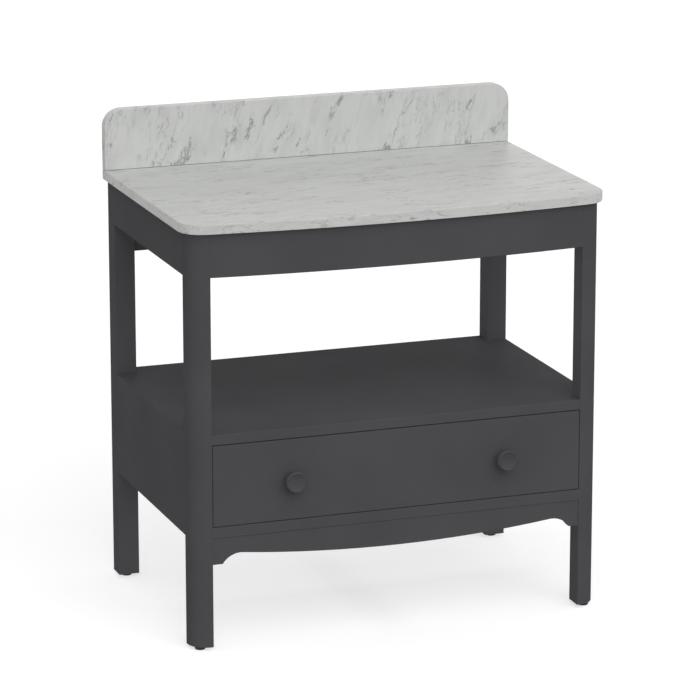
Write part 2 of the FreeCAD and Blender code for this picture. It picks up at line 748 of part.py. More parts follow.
def worktop():
    """The marble slab: its front edge bows like the rail and runs into round corners."""
    radius = leg_radius + WORKTOP_OVERHANG
    centre_x = worktop_half - radius
    centre_y = frame_front - WORKTOP_OVERHANG + radius
    crown_y = frame_front - WORKTOP_OVERHANG - BOW
    lift = centre_y - crown_y
    sweep = (centre_x ** 2 + lift ** 2 - radius ** 2) / (2 * (lift - radius))
    sweep_y = crown_y + sweep
    share = radius / (sweep - radius)
    meet_x = centre_x + centre_x * share
    meet_y = centre_y + (centre_y - sweep_y) * share
    quarter_x = meet_x / 2
    quarter_y = sweep_y - math.sqrt(sweep ** 2 - quarter_x ** 2)
    turn = math.atan2(meet_y - centre_y, meet_x - centre_x) / 2
    mid_x = centre_x + radius * math.cos(turn)
    mid_y = centre_y + radius * math.sin(turn)

    def at(x, y):
        return point(x, y, leg_top)

    edges = [
        line(at(-worktop_half, frame_back), at(worktop_half, frame_back)),
        line(at(worktop_half, frame_back), at(worktop_half, centre_y)),
        arc(at(worktop_half, centre_y), at(mid_x, mid_y), at(meet_x, meet_y)),
        arc(at(meet_x, meet_y), at(quarter_x, quarter_y), at(0, crown_y)),
        arc(at(0, crown_y), at(-quarter_x, quarter_y), at(-meet_x, meet_y)),
        arc(at(-meet_x, meet_y), at(-mid_x, mid_y), at(-worktop_half, centre_y)),
        line(at(-worktop_half, centre_y), at(-worktop_half, frame_back)),
    ]
    slab = prism(edges, point(0, 0, WORKTOP_THICK))
    for height, rounding in ((worktop_top, WORKTOP_EASE), (leg_top, WORKTOP_UNDER_EASE)):
        shown = [e for e in slab.Edges if lies_at(e, z=height) and not lies_at(e, y=frame_back)]
        slab = slab.makeFillet(rounding, shown)
    return slab


def upstand():
    """The marble upstand on the back edge of the worktop, with round top corners."""
    bottom = worktop_top + SEAL_THICK
    top = bottom + UPSTAND_HEIGHT
    near = frame_back - UPSTAND_THICK
    slab = block(-worktop_half, worktop_half, near, frame_back, bottom, top)
    for side in (-1, 1):
        slab = ease(slab, UPSTAND_CORNER_RADIUS, x=side * worktop_half, z=top)
    shown = [e for e in slab.Edges if lies_at(e, y=near) and not lies_at(e, z=bottom)]
    return slab.makeFillet(UPSTAND_EASE, shown)


def upstand_seal():
    """The silicone joint that beds the upstand on the worktop, set back from the marble's faces."""
    half = worktop_half - SEAL_INSET
    near = frame_back - UPSTAND_THICK + SEAL_INSET
    return block(-half, half, near, frame_back - SEAL_INSET, worktop_top, worktop_top + SEAL_THICK)


sides = {"left": -1, "right": 1}
ends = {"front": True, "back": False}
corners = [(e, s, sides[s], ends[e]) for e in ends for s in sides]
pieces = {
    "worktop": worktop(),
    "upstand": upstand(),
    "upstand_seal": upstand_seal(),
    "worktop_pads": Part.makeCompound([worktop_pad(side, front) for _, _, side, front in corners]),
    "rail_front": drilled_for_blocks(rail_front()),
    "rail_back": drilled_for_blocks(rail_back()),
    "shelf": board(shelf_bottom, SHELF_THICK, JOINT_EASE),
    "bottom_board": board(board_bottom, BOARD_THICK, EDGE_EASE),
    "back_panel": back_panel_shape(),
    "carcass_dowels": Part.makeCompound([dowel(*place) for place in dowel_places()]),
    "apron_front": apron_front(),
    "apron_glue_blocks": glue_blocks(),
    "drawer_front": drawer_front(),
    "drawer_box_front": drawer_box_front(),
    "drawer_back": drawer_back(),
    "drawer_bottom": drawer_bottom(),
    "front_screws": screw_group(front_screws(), front_screw_length),
    "knob_screws": screw_group(knob_screws(), knob_screw_length),
    "glide_nails": Part.makeCompound([glide_nail(side, front) for _, _, side, front in corners]),
}
for end, name, side, front in corners:
    pieces[f"leg_{end}_{name}"] = leg(side, front)
    pieces[f"glide_{end}_{name}"] = glide(side, front)
    pieces[f"corner_block_{end}_{name}"] = corner_block(side, front)
for name, side in sides.items():
    pieces[f"rail_{name}"] = drilled_for_blocks(rail_side(side))
    pieces[f"side_panel_{name}"] = side_panel(side)
    pieces[f"runner_packer_{name}"] = runner_packer(side)
    pieces[f"runner_outer_{name}"] = runner_outer(side)
    pieces[f"runner_middle_{name}"] = runner_middle(side)
    pieces[f"runner_inner_{name}"] = runner_inner(side)
    pieces[f"drawer_side_{name}"] = drawer_side(side)
    pieces[f"knob_{name}"] = knob(side)
block_places = [place for _, _, side, front in corners for place in block_screws(side, front)]
pieces["corner_block_screws"] = screw_group(block_places, BLOCK_SCREW_SEAT + BLOCK_SCREW_BITE)
for cabinet, node in ((True, "runner_screws_cabinet"), (False, "runner_screws_drawer")):
    places = [place for side in sides.values() for place in runner_screws(side, cabinet)]
    pieces[node] = screw_group(places, RUNNER_SCREW_BITE)

os.makedirs("parts", exist_ok=True)
for node, shape in pieces.items():
    shape.exportStep(f"parts/{node}.step")
    sound = shape.isValid() and all(s.Volume > 0 for s in shape.Solids)
    print(f"{node}: {len(shape.Solids)} solid, {shape.Volume:.0f} mm3, sound {sound}")
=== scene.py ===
# %% [markdown]
# # A washstand with a marble top
# This lesson dresses a bow-fronted washstand: charcoal painted timber, a pale marble worktop with an
# upstand, an open shelf, and one inset drawer with two turned knobs above a shaped apron. Its solids
# come ready made, in metres, with every joint and gap in place, so we could stop at plain colours. The
# finish is what makes timber look painted and stone look like stone, and that is most of what we build
# here. At the end the screws and the drawer's runners get the small shapes that plain solids lack.

# %% Load the solids
import json
import math

import bpy
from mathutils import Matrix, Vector


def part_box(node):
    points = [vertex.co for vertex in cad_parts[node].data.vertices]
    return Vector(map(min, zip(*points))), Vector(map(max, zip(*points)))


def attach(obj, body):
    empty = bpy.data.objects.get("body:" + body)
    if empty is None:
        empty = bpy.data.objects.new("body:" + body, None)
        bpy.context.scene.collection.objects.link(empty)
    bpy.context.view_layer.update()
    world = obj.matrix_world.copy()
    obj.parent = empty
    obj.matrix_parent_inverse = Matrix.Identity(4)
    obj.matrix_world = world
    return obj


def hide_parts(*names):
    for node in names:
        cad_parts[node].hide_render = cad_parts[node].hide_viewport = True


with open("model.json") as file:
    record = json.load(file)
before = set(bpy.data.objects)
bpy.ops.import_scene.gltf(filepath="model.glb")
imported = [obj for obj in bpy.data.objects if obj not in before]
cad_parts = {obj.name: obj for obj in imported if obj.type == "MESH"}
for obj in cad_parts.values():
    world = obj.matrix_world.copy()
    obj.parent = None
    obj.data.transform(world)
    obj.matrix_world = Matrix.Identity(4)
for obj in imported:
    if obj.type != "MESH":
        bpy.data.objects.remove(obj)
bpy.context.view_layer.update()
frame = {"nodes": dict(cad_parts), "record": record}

nodes = frame["nodes"]

# %% [markdown]
# ## Where we stand
# The washstand is seen from its left front, a little from above, with a long lens from far away, so its
# edges stay almost parallel. We could place the camera by hand until it looks right. It is easier to
# say what to aim at, how far to walk round, how high to stand and how far off, and to let a tracking
# rotation do the rest: each of those four values can then be read and changed on its own.

# %% Camera
AIM = Vector((-0.010, 0.0, 0.502))
WALK_ROUND = math.radians(19.83)
LOOK_DOWN = math.radians(14.68)
DISTANCE = 7.72
LENS_MM = 201.0

camera_data = bpy.data.cameras.new("camera")
camera_data.lens = LENS_MM
camera = bpy.data.objects.new("camera", camera_data)
bpy.context.scene.collection.objects.link(camera)
level = DISTANCE * math.cos(LOOK_DOWN)
rise = DISTANCE * math.sin(LOOK_DOWN)
camera.location = AIM + Vector((-level * math.sin(WALK_ROUND), -level * math.cos(WALK_ROUND), rise))
camera.rotation_euler = (AIM - camera.location).to_track_quat("-Z", "Y").to_euler()
bpy.context.scene.camera = camera
print("camera at", tuple(round(v, 2) for v in camera.location), "lens", LENS_MM, "mm")

# %% [markdown]
# ## A small kit for finishes
# Every finish below is a tree of shader nodes. Writing each link by hand is long and hides the idea, so
# this helper makes a node, sets its options and plugs in its inputs in one call. An input can be a plain
# value or the output of an earlier node.

# %% Node kit
class NodeKit:
    """Shader nodes made and linked in one tree."""

    def __init__(self, tree):
        self.tree = tree

    def make(self, kind, inputs=None, **options):
        """A node with its options set and its inputs filled or linked."""
        node = self.tree.nodes.new(kind)
        for option, value in options.items():
            setattr(node, option, value)
        for socket, value in (inputs or {}).items():
            self.feed(node.inputs[socket], value)
        return node

    def feed(self, socket, value):
        """Put a value into a socket, or link an output to it."""
        if isinstance(value, bpy.types.NodeSocket):
            self.tree.links.new(value, socket)
        else:
            socket.default_value = value

    def spread(self, value, low, high, to_low=0.0, to_high=1.0):
        """Stretch a band of values to another band, with soft ends."""
        inputs = {"Value": value, "From Min": low, "From Max": high, "To Min": to_low, "To Max": to_high}
        return self.make("ShaderNodeMapRange", inputs, interpolation_type="SMOOTHSTEP").outputs["Result"]

    def work_out(self, operation, first, second):
        """One step of arithmetic on two values."""
        return self.make("ShaderNodeMath", {0: first, 1: second}, operation=operation).outputs["Value"]

    def blend(self, share, first, second):
        """Two colours mixed by a share."""
        node = self.make("ShaderNodeMixRGB", {"Fac": share, "Color1": first, "Color2": second})
        return node.outputs["Color"]


print("node kit:", [step for step in vars(NodeKit) if not step.startswith("_")])

# %% [markdown]
# ## What a finish starts from
# Each finish is a material with Blender's general shader, and noises that vary it from place to place. We
# could unwrap every solid and lay the patterns on like paper. Object coordinates need no unwrapping: they
# are metres on the solid itself, so grain and veins keep their real size and stay put when the drawer
# moves.

# %% Finish helper
MIDDLE_BAND = (0.3, 0.7)
WIDE_BAND = (0.2, 0.8)


class Finish(NodeKit):
    """A material under construction."""

    def __init__(self, name):
        self.material = bpy.data.materials.new(name)
        self.material.use_nodes = True
        super().__init__(self.material.node_tree)
        self.shader = self.tree.nodes["Principled BSDF"]
        self.place = self.make("ShaderNodeTexCoord").outputs["Object"]

    def surface(self, **inputs):
        """Fill the shader's own sockets, named with underscores for spaces."""
        for name, value in inputs.items():
            self.feed(self.shader.inputs[name.replace("_", " ")], value)

    def stretched(self, scale, turn=(0.0, 0.0, 0.0)):
        """Object coordinates turned and stretched, for patterns that run one way."""
        options = {"Vector": self.place, "Scale": scale, "Rotation": turn}
        return self.make("ShaderNodeMapping", options, vector_type="TEXTURE").outputs["Vector"]

    def noise(self, place, scale, detail=2.0, roughness=0.5):
        """Soft random values from 0 to 1, with scale lumps to a metre."""
        inputs = {"Vector": place, "Scale": scale, "Detail": detail, "Roughness": roughness}
        return self.make("ShaderNodeTexNoise", inputs).outputs["Fac"]

    def relief(self, height, depth, under=None):
        """Turn heights from 0 to 1 into a bump of some depth in metres."""
        inputs = {"Height": height, "Distance": depth}
        if under is not None:
            inputs["Normal"] = under
        return self.make("ShaderNodeBump", inputs).outputs["Normal"]


def grey(level, tint=(1.0, 1.0, 1.0)):
    """A colour of one level with a slight tint."""
    return tuple(level * part for part in tint) + (1.0,)


print("finish helper ready, most of a noise lies in", MIDDLE_BAND, "and nearly all in", WIDE_BAND)

# %% [markdown]
# ## The studio
# The washstand stands on a plain pale floor in a white room. In the picture the fronts are the brightest
# faces, the sides a quarter darker, and even the back legs are well lit, so the light is very soft and
# comes mostly from the front and above. We start with the room: it glows, more so towards the front. A
# white backdrop could be lit with strong lamps, but those would bleach the marble. Instead the room and
# the floor ask which kind of ray has hit them: rays that make the picture, or a reflection, see white,
# and rays that light the object get a moderate level.

# %% Room
SCREEN_FROM = Vector((0.0, -0.80, 0.60)).normalized()
SCREEN_LIGHT = 0.52
ROOM_LIGHT = 0.20


def picture_rays(kit):
    """1 for rays that come from the camera, a reflection or a see-through surface, else 0."""
    path = kit.make("ShaderNodeLightPath").outputs
    shiny = kit.work_out("MAXIMUM", path["Is Glossy Ray"], path["Is Transmission Ray"])
    return kit.work_out("MAXIMUM", path["Is Camera Ray"], shiny)


world = bpy.data.worlds.new("white_room")
world.use_nodes = True
bpy.context.scene.world = world
room = NodeKit(world.node_tree)
towards = {0: room.make("ShaderNodeTexCoord").outputs["Generated"], 1: SCREEN_FROM}
facing = room.make("ShaderNodeVectorMath", towards, operation="DOT_PRODUCT").outputs["Value"]
levels = {"Value": facing, "To Min": ROOM_LIGHT, "To Max": ROOM_LIGHT + SCREEN_LIGHT}
glow = room.make("ShaderNodeMapRange", levels).outputs["Result"]
strength = room.make("ShaderNodeMapRange", {"Value": picture_rays(room), "To Min": glow}).outputs["Result"]
backdrop = world.node_tree.nodes["Background"]
room.feed(backdrop.inputs["Color"], grey(1.0))
room.feed(backdrop.inputs["Strength"], strength)
print("room light", ROOM_LIGHT, "rising to", ROOM_LIGHT + SCREEN_LIGHT, "in front")

# %% [markdown]
# ## The floor
# The soft shadow round its legs is what makes the washstand stand rather than float, so it needs a floor.
# A white one would do for the picture, but it would throw far too much light up under the shelf. Ours is
# a mid grey for the rays that light the object. For the rays that make the picture, a little glow lifts
# that grey to white, and because the glow is added to the grey, the shadow stays.

# %% Floor
FLOOR_HALF = 40.0
FLOOR_ROUGH = 0.9
FLOOR_LEVEL = 0.45
FLOOR_SHOWN = 0.50
FLOOR_LIFT = 0.60

floor_finish = Finish("pale_floor")
shown = picture_rays(floor_finish)
floor_finish.surface(
    Base_Color=floor_finish.blend(shown, grey(FLOOR_LEVEL), grey(FLOOR_SHOWN)),
    Roughness=FLOOR_ROUGH,
    Specular_IOR_Level=0.0,
    Emission_Color=grey(1.0),
    Emission_Strength=floor_finish.work_out("MULTIPLY", shown, FLOOR_LIFT),
)
floor_mesh = bpy.data.meshes.new("floor")
corner_signs = [(-1, -1), (1, -1), (1, 1), (-1, 1)]
floor_mesh.from_pydata([(x * FLOOR_HALF, y * FLOOR_HALF, 0.0) for x, y in corner_signs], [], [(0, 1, 2, 3)])
floor_mesh.materials.append(floor_finish.material)
floor = bpy.data.objects.new("floor", floor_mesh)
bpy.context.scene.collection.objects.link(floor)
print("floor", 2 * FLOOR_HALF, "m across")

# %% [markdown]
# ## A soft key lamp
# The room alone would leave the knobs without shape: in the picture each has a paler lower rim and a soft
# shade below it, so some of the light has a direction. An area lamp would do that, but its light fades
# with distance and the far floor would turn grey. A sun lamp, high in front, lights the floor evenly, and
# a very wide angle makes its shadows as soft as those of a large screen.

# %% Key lamp
KEY_FROM = Vector((0.03, -0.76, 0.65))
KEY_STRENGTH = 1.14
LAMP_SPREAD = math.radians(60.0)


def far_lamp(name, come_from, strength):
    """A wide, far-off lamp whose light comes from one direction."""
    lamp = bpy.data.lights.new(name, "SUN")
    lamp.energy = strength
    lamp.angle = LAMP_SPREAD
    stand = bpy.data.objects.new(name, lamp)
    stand.rotation_euler = (-come_from).to_track_quat("-Z", "Y").to_euler()
    bpy.context.scene.collection.objects.link(stand)
    return lamp


far_lamp("key_lamp", KEY_FROM, KEY_STRENGTH)
bpy.context.scene.view_settings.view_transform = "Standard"
print("key lamp strength", KEY_STRENGTH, "spread", round(math.degrees(LAMP_SPREAD)), "degrees")

# %% [markdown]
# ## Light from all around
# In a white studio the light goes on bouncing until it reaches every corner: in the picture even the legs
# at the back are almost as bright as the front. Real walls and many bounces would do that slowly and leave
# noise. Weak lamps on every side, with their shadows switched off, give the same even light at once, while
# the key lamp and the room still draw the soft shadows.

# %% Fill lamps
FILL_RISE = 0.1
FILL_STRENGTHS = {"front": 0.70, "back": 0.55, "left": 0.62, "right": 0.58, "top": 0.40}
FILL_FROM = {
    "front": Vector((0.0, -1.0, FILL_RISE)),
    "back": Vector((0.0, 1.0, FILL_RISE)),
    "left": Vector((-1.0, 0.0, FILL_RISE)),
    "right": Vector((1.0, 0.0, FILL_RISE)),
    "top": Vector((0.0, 0.0, 1.0)),
}
for side, fill_strength in FILL_STRENGTHS.items():
    far_lamp(f"fill_lamp_{side}", FILL_FROM[side], fill_strength).use_shadow = False
print("fill lamps:", FILL_STRENGTHS)

# %% [markdown]
# ## Light between the legs
# Light also bounces to and fro between the legs, so in the picture their inner faces are as bright as their
# outer ones. Stronger lamps from the sides would brighten both alike. Flat panels in the middle of the
# washstand shine only on the faces that look inwards: two stand back to back in the open bay, and a low one
# under the drawer shines on the back legs. They throw no shadows, and no picture shows them.

# %% Panels between the legs
PANEL_SPREAD = math.radians(100.0)
BAY_MIDDLE = (0.0, 0.0, 0.42)
LOW_MIDDLE = (0.0, 0.0, 0.12)


def inner_panel(name, middle, way, width, height, power):
    """A flat lamp of some width and height that shines one way and stays unseen."""
    panel = bpy.data.lights.new(name, "AREA")
    panel.shape = "RECTANGLE"
    panel.size = width
    panel.size_y = height
    panel.spread = PANEL_SPREAD
    panel.energy = power
    panel.use_shadow = False
    stand = bpy.data.objects.new(name, panel)
    stand.location = middle
    stand.rotation_euler = Vector(way).to_track_quat("-Z", "Y").to_euler()
    stand.visible_camera = False
    stand.visible_glossy = False
    bpy.context.scene.collection.objects.link(stand)
    print(name, "power", power, "W")


for side, way in {"left": (-1.0, 0.0, 0.0), "right": (1.0, 0.0, 0.0)}.items():
    inner_panel(f"bay_panel_{side}", BAY_MIDDLE, way, width=0.50, height=0.80, power=0.60)
inner_panel("low_panel", LOW_MIDDLE, (0.0, 1.0, 0.0), width=0.80, height=0.20, power=0.32)

# %% [markdown]
# ## Charcoal paint on timber
# The frame is painted in a neutral charcoal eggshell. Seen close, such paint is never a flat grey: the
# coat is a touch thicker here and thinner there, the brush leaves fine lines along each piece, and a
# roller leaves a fine stipple. One grey for all would do from afar. We make one finish for each direction
# of the grain instead, because a leg is brushed upwards and a rail along its length.

# %% Paint
PAINT_TINT = (0.99, 0.99, 1.05)
PAINT_THICK = grey(0.0645, PAINT_TINT)
PAINT_THIN = grey(0.0710, PAINT_TINT)
GRAIN_RUN = 14.0
COAT_LUMPS = 5.0
COAT_DETAIL = (4.0, 0.6)
BRUSH_LINES = 420.0
STIPPLE = 900.0
BRUSH_DEPTH = 0.00006
STIPPLE_DEPTH = 0.00003
PAINT_ROUGH = (0.6, 0.7)
EGGSHELL_SHEEN = 0.01


def along(axis, run):
    """A stretch that draws a pattern out along one axis."""
    return tuple(run if name == axis else 1.0 for name in "XYZ")


def charcoal_paint(name, grain):
    """Brushed eggshell paint over timber whose grain runs along an axis."""
    paint = Finish(name)
    coat = paint.noise(paint.place, COAT_LUMPS, *COAT_DETAIL)
    lines = paint.noise(paint.stretched(along(grain, GRAIN_RUN)), BRUSH_LINES)
    stipple = paint.noise(paint.place, STIPPLE)
    colour = paint.blend(paint.spread(coat, *MIDDLE_BAND), PAINT_THICK, PAINT_THIN)
    brushed = paint.relief(lines, BRUSH_DEPTH)
    paint.surface(
        Base_Color=colour,
        Roughness=paint.spread(lines, *WIDE_BAND, *PAINT_ROUGH),
        Specular_IOR_Level=EGGSHELL_SHEEN,
        Normal=paint.relief(stipple, STIPPLE_DEPTH, brushed),
    )
    return paint.material


paints = {axis: charcoal_paint(f"charcoal_paint_{axis.lower()}", axis) for axis in "XYZ"}
print("paints:", [paint.name for paint in paints.values()])

# %% [markdown]
# ## Marble
# The worktop and the upstand are cut from one pale grey marble. Seen close it shows soft wisps and fine
# streaks that all run one way, tufts of thin grey hairs, and broken veins that swell to dark blotches. We
# could draw each vein as a curve, but a noise crosses its middle value along lines that wander just like
# veins. Bending the stone's coordinates first, and stretching them along the run, keeps those lines from
# closing into rings, and because the pattern fills the solid, every mark runs on over the edges.

# %% Marks in the stone
STONE_TINT = (0.985, 1.0, 0.975)
STONE_PALE = grey(0.522, STONE_TINT)
STONE_CLOUD = grey(0.43, STONE_TINT)
VEIN_TINT = (0.97, 1.0, 1.0)
STONE_VEIN = grey(0.19, VEIN_TINT)
BEND_SIZE = 0.05
BEND_REACH = 0.030
NOISE_MIDDLE = 0.5
CLOUD_DETAIL = (3.0, 0.5)
VEIN_DETAIL = (6.0, 0.62)
SWELL_SIZE = 0.45
SWELL_DETAIL = (3.0, 0.6)
SWELL_BAND = (0.42, 0.72)


def lumps_of(width):
    """The noise scale that gives lumps of about this width in metres, with hollows as wide between them."""
    return 1.0 / (2.0 * width)


def bent(stone, size, reach):
    """The stone's own coordinates, pushed about by a slow noise so that straight marks wander."""
    push = stone.make("ShaderNodeTexNoise", {"Vector": stone.place, "Scale": lumps_of(size)})
    centre = {0: push.outputs["Color"], 1: 3 * (NOISE_MIDDLE,)}
    about_zero = stone.make("ShaderNodeVectorMath", centre, operation="SUBTRACT").outputs[0]
    far = {0: about_zero, "Scale": reach}
    shift = stone.make("ShaderNodeVectorMath", far, operation="SCALE").outputs[0]
    return stone.make("ShaderNodeVectorMath", {0: stone.place, 1: shift}, operation="ADD").outputs[0]


def clouds(stone, place, width, band, most):
    """Soft patches of some width, where a noise rises through a band of values."""
    return stone.spread(stone.noise(place, lumps_of(width), *CLOUD_DETAIL), *band, 0.0, most)


def veins(stone, place, spacing, thin, thick):
    """Wandering lines some distance apart, that swell from thin to thick along their way."""
    height = stone.noise(place, lumps_of(spacing), *VEIN_DETAIL)
    off = stone.work_out("ABSOLUTE", stone.work_out("SUBTRACT", height, NOISE_MIDDLE), 0.0)
    swell = stone.noise(place, lumps_of(SWELL_SIZE * spacing), *SWELL_DETAIL)
    return stone.spread(off, 0.0, stone.spread(swell, *SWELL_BAND, thin, thick), 1.0, 0.0)


print("stone colours:", STONE_PALE[:3], STONE_CLOUD[:3], STONE_VEIN[:3])

# %% [markdown]
# ## Two slabs of one stone
# A mason turns each slab to suit its place: along the worktop the marks lie almost level, and on the
# upstand they climb steeply. Two separate finishes would drift apart as we tune them. One function with a
# turn, a spacing and a share for each kind of mark keeps the two slabs in the same stone. The surface is
# honed, which leaves it smooth but hardly shiny, with a faint unevenness from the crystals.

# %% Marble
WISP_WIDTH = 0.016
WISP_BAND = (0.40, 0.72)
STREAK_WIDTH = 0.0045
STREAK_BAND = (0.42, 0.72)
STREAK_DRAW = 1.7
PATCH_WIDTH = 0.020
PATCH_BAND = (0.45, 0.595)
VEIN_THIN, VEIN_THICK = 0.004, 0.070
HALO_THIN, HALO_THICK = 0.05, 0.18
HALO_SHARE = 0.6
HAIR_WIDTH = 0.024
HAIR_BAND = (0.44, 0.60)
HAIR_SPACING = 0.008
HAIR_THIN, HAIR_THICK = 0.008, 0.060
HONED_ROUGH = (0.44, 0.54)
HONED_SHINE = 0.2
CRYSTALS = 1100.0
CRYSTAL_DEPTH = 0.00002


def marble(name, turn, run, spacing, veined, clouded, streaked, haired):
    """Honed marble whose marks run along X before the turn, with a share for each kind of mark."""
    stone = Finish(name)
    stone.place = bent(stone, BEND_SIZE, BEND_REACH)
    place = stone.stretched((run, 1.0, 1.0), turn)
    drawn = stone.stretched((STREAK_DRAW * run, 1.0, 1.0), turn)
    wisps = clouds(stone, place, WISP_WIDTH, WISP_BAND, clouded)
    streaks = clouds(stone, drawn, STREAK_WIDTH, STREAK_BAND, streaked)
    patches = clouds(stone, place, PATCH_WIDTH, PATCH_BAND, veined)
    lines = stone.work_out("MULTIPLY", veins(stone, place, spacing, VEIN_THIN, VEIN_THICK), patches)
    halo = stone.work_out("MULTIPLY", veins(stone, place, spacing, HALO_THIN, HALO_THICK), patches)
    soft = stone.work_out("MAXIMUM", stone.work_out("MULTIPLY", halo, HALO_SHARE), wisps)
    colour = stone.blend(stone.work_out("MAXIMUM", soft, streaks), STONE_PALE, STONE_CLOUD)
    tufts = clouds(stone, drawn, HAIR_WIDTH, HAIR_BAND, haired)
    hairs = stone.work_out("MULTIPLY", veins(stone, drawn, HAIR_SPACING, HAIR_THIN, HAIR_THICK), tufts)
    stone.surface(
        Base_Color=stone.blend(stone.work_out("MAXIMUM", lines, hairs), colour, STONE_VEIN),
        Roughness=stone.spread(wisps, 0.0, 1.0, *HONED_ROUGH),
        Specular_IOR_Level=HONED_SHINE,
        Normal=stone.relief(stone.noise(stone.place, CRYSTALS), CRYSTAL_DEPTH),
    )
    return stone.material


along_worktop = (0.0, 0.0, math.radians(4.0))
up_upstand = (0.0, math.radians(-75.0), 0.0)
worktop_marks = {"veined": 0.70, "clouded": 0.45, "streaked": 0.50, "haired": 0.15}
upstand_marks = {"veined": 0.77, "clouded": 0.55, "streaked": 0.40, "haired": 0.40}
worktop_stone = marble("marble_worktop", along_worktop, run=3.8, spacing=0.0085, **worktop_marks)
upstand_stone = marble("marble_upstand", up_upstand, run=2.8, spacing=0.0205, **upstand_marks)
print("stones:", worktop_stone.name, upstand_stone.name)

# %% [markdown]
# ## Bare timber and drawer timber
# Inside, the corner blocks, glue blocks and packers are planed softwood, and the drawer box is a pale
# lacquered hardwood. Growth rings cut lengthwise show as long arches and stripes. Blender's wave texture
# gives straight stripes, which look printed. Folding a slow, drawn-out noise back and forth gives rings
# that open into arches as they do on a plank, and fine fibres and short dark pores follow the same way.

# %% Timber
RING_RUN = 12.0
RING_FOLDS = 7.0
RING_DETAIL = (2.0, 0.45)
RING_BAND = (0.05, 0.95)
FIBRE_RUN = 40.0
FIBRES = 320.0
FIBRE_DETAIL = (3.0, 0.6)
FIBRE_BAND = (0.45, 0.75)
FIBRE_SHARE = 0.35
PORES = 900.0
PORE_BAND = (0.58, 0.74)
PORE_SHARE = 0.45
PORE_SHADE = 0.55
PORE_DEPTH = 0.00008
FIBRE_ROUGHENS = 0.12
TIMBER_SHINE = 0.35


def planed_timber(name, grain, early, late, rings, rough):
    """Planed timber with growth rings along an axis, rings to a metre across it."""
    timber = Finish(name)
    run = timber.stretched(along(grain, RING_RUN))
    slow = timber.work_out("MULTIPLY", timber.noise(run, rings, *RING_DETAIL), RING_FOLDS)
    arches = timber.spread(timber.work_out("PINGPONG", slow, 1.0), *RING_BAND)
    fibres = timber.noise(timber.stretched(along(grain, FIBRE_RUN)), FIBRES, *FIBRE_DETAIL)
    pores = timber.spread(timber.noise(run, PORES), *PORE_BAND, 0.0, PORE_SHARE)
    colour = timber.blend(arches, early, late)
    colour = timber.blend(timber.spread(fibres, *FIBRE_BAND, 0.0, FIBRE_SHARE), colour, late)
    colour = timber.blend(pores, colour, tuple(PORE_SHADE * part for part in late[:3]) + (1.0,))
    timber.surface(
        Base_Color=colour,
        Roughness=timber.spread(fibres, *WIDE_BAND, rough, rough + FIBRE_ROUGHENS),
        Specular_IOR_Level=TIMBER_SHINE,
        Normal=timber.relief(pores, PORE_DEPTH),
    )
    return timber.material


SOFTWOOD_COLOURS = ((0.58, 0.42, 0.25, 1.0), (0.46, 0.29, 0.15, 1.0))
SOFTWOOD_RINGS = 9.0
PLANED_ROUGH = 0.6
HARDWOOD_COLOURS = ((0.57, 0.44, 0.29, 1.0), (0.49, 0.35, 0.21, 1.0))
HARDWOOD_RINGS = 7.0
LACQUER_ROUGH = 0.4
softwood, drawer_wood = {}, {}
for axis in "XYZ":
    soft_name, hard_name = f"softwood_{axis.lower()}", f"drawer_wood_{axis.lower()}"
    softwood[axis] = planed_timber(soft_name, axis, *SOFTWOOD_COLOURS, SOFTWOOD_RINGS, PLANED_ROUGH)
    drawer_wood[axis] = planed_timber(hard_name, axis, *HARDWOOD_COLOURS, HARDWOOD_RINGS, LACQUER_ROUGH)
print("timbers:", [wood.name for wood in (*softwood.values(), *drawer_wood.values())])

# %% [markdown]
# ## Zinc, silicone and plastic
# The runners and screws are cold-rolled steel dipped in zinc: a cloudy grey metal with fine draw lines
# along its length. A plain metal colour would shine like chrome, so the clouds change both the colour and
# the roughness. The joint under the upstand and the pads that bed the marble are grey silicone, and the
# glides under the legs are black plastic. Both are matt with a fine skin, so one finish serves for them.

# %% Small finishes
ZINC_TINT = (0.99, 1.0, 1.02)
ZINC_DULL = grey(0.44)
ZINC_BRIGHT = grey(0.57, ZINC_TINT)
ZINC_CLOUDS = 60.0
ZINC_DETAIL = (4.0, 0.6)
ZINC_ROUGH = (0.28, 0.42)
DRAW_RUN = 40.0
DRAW_LINES = 1500.0
DRAW_DEPTH = 0.00001
SKIN_DETAIL = (3.0, 0.5)
SKIN_ROUGH = (0.5, 0.6)
SKIN_SHINE = 0.3


def zinc_steel():
    """Cold-rolled steel with a cloudy zinc coat, drawn along Y."""
    zinc = Finish("zinc_steel")
    cloud = zinc.noise(zinc.place, ZINC_CLOUDS, *ZINC_DETAIL)
    draw = zinc.noise(zinc.stretched(along("Y", DRAW_RUN)), DRAW_LINES)
    zinc.surface(
        Base_Color=zinc.blend(zinc.spread(cloud, *MIDDLE_BAND), ZINC_DULL, ZINC_BRIGHT),
        Metallic=1.0,
        Roughness=zinc.spread(cloud, *MIDDLE_BAND, *ZINC_ROUGH),
        Normal=zinc.relief(draw, DRAW_DEPTH),
    )
    return zinc.material


def matt_skin(name, dark, pale, lumps, depth):
    """A matt moulded or squeezed material, with lumps to a metre in its skin."""
    skin = Finish(name)
    lump = skin.noise(skin.place, lumps, *SKIN_DETAIL)
    skin.surface(
        Base_Color=skin.blend(lump, grey(dark), grey(pale)),
        Roughness=skin.spread(lump, *MIDDLE_BAND, *SKIN_ROUGH),
        Specular_IOR_Level=SKIN_SHINE,
        Normal=skin.relief(lump, depth),
    )
    return skin.material


steel = zinc_steel()
silicone = matt_skin("grey_silicone", dark=0.10, pale=0.13, lumps=260.0, depth=0.0001)
glide_plastic = matt_skin("black_plastic", dark=0.012, pale=0.02, lumps=1400.0, depth=0.00004)
print("small finishes:", steel.name, silicone.name, glide_plastic.name)

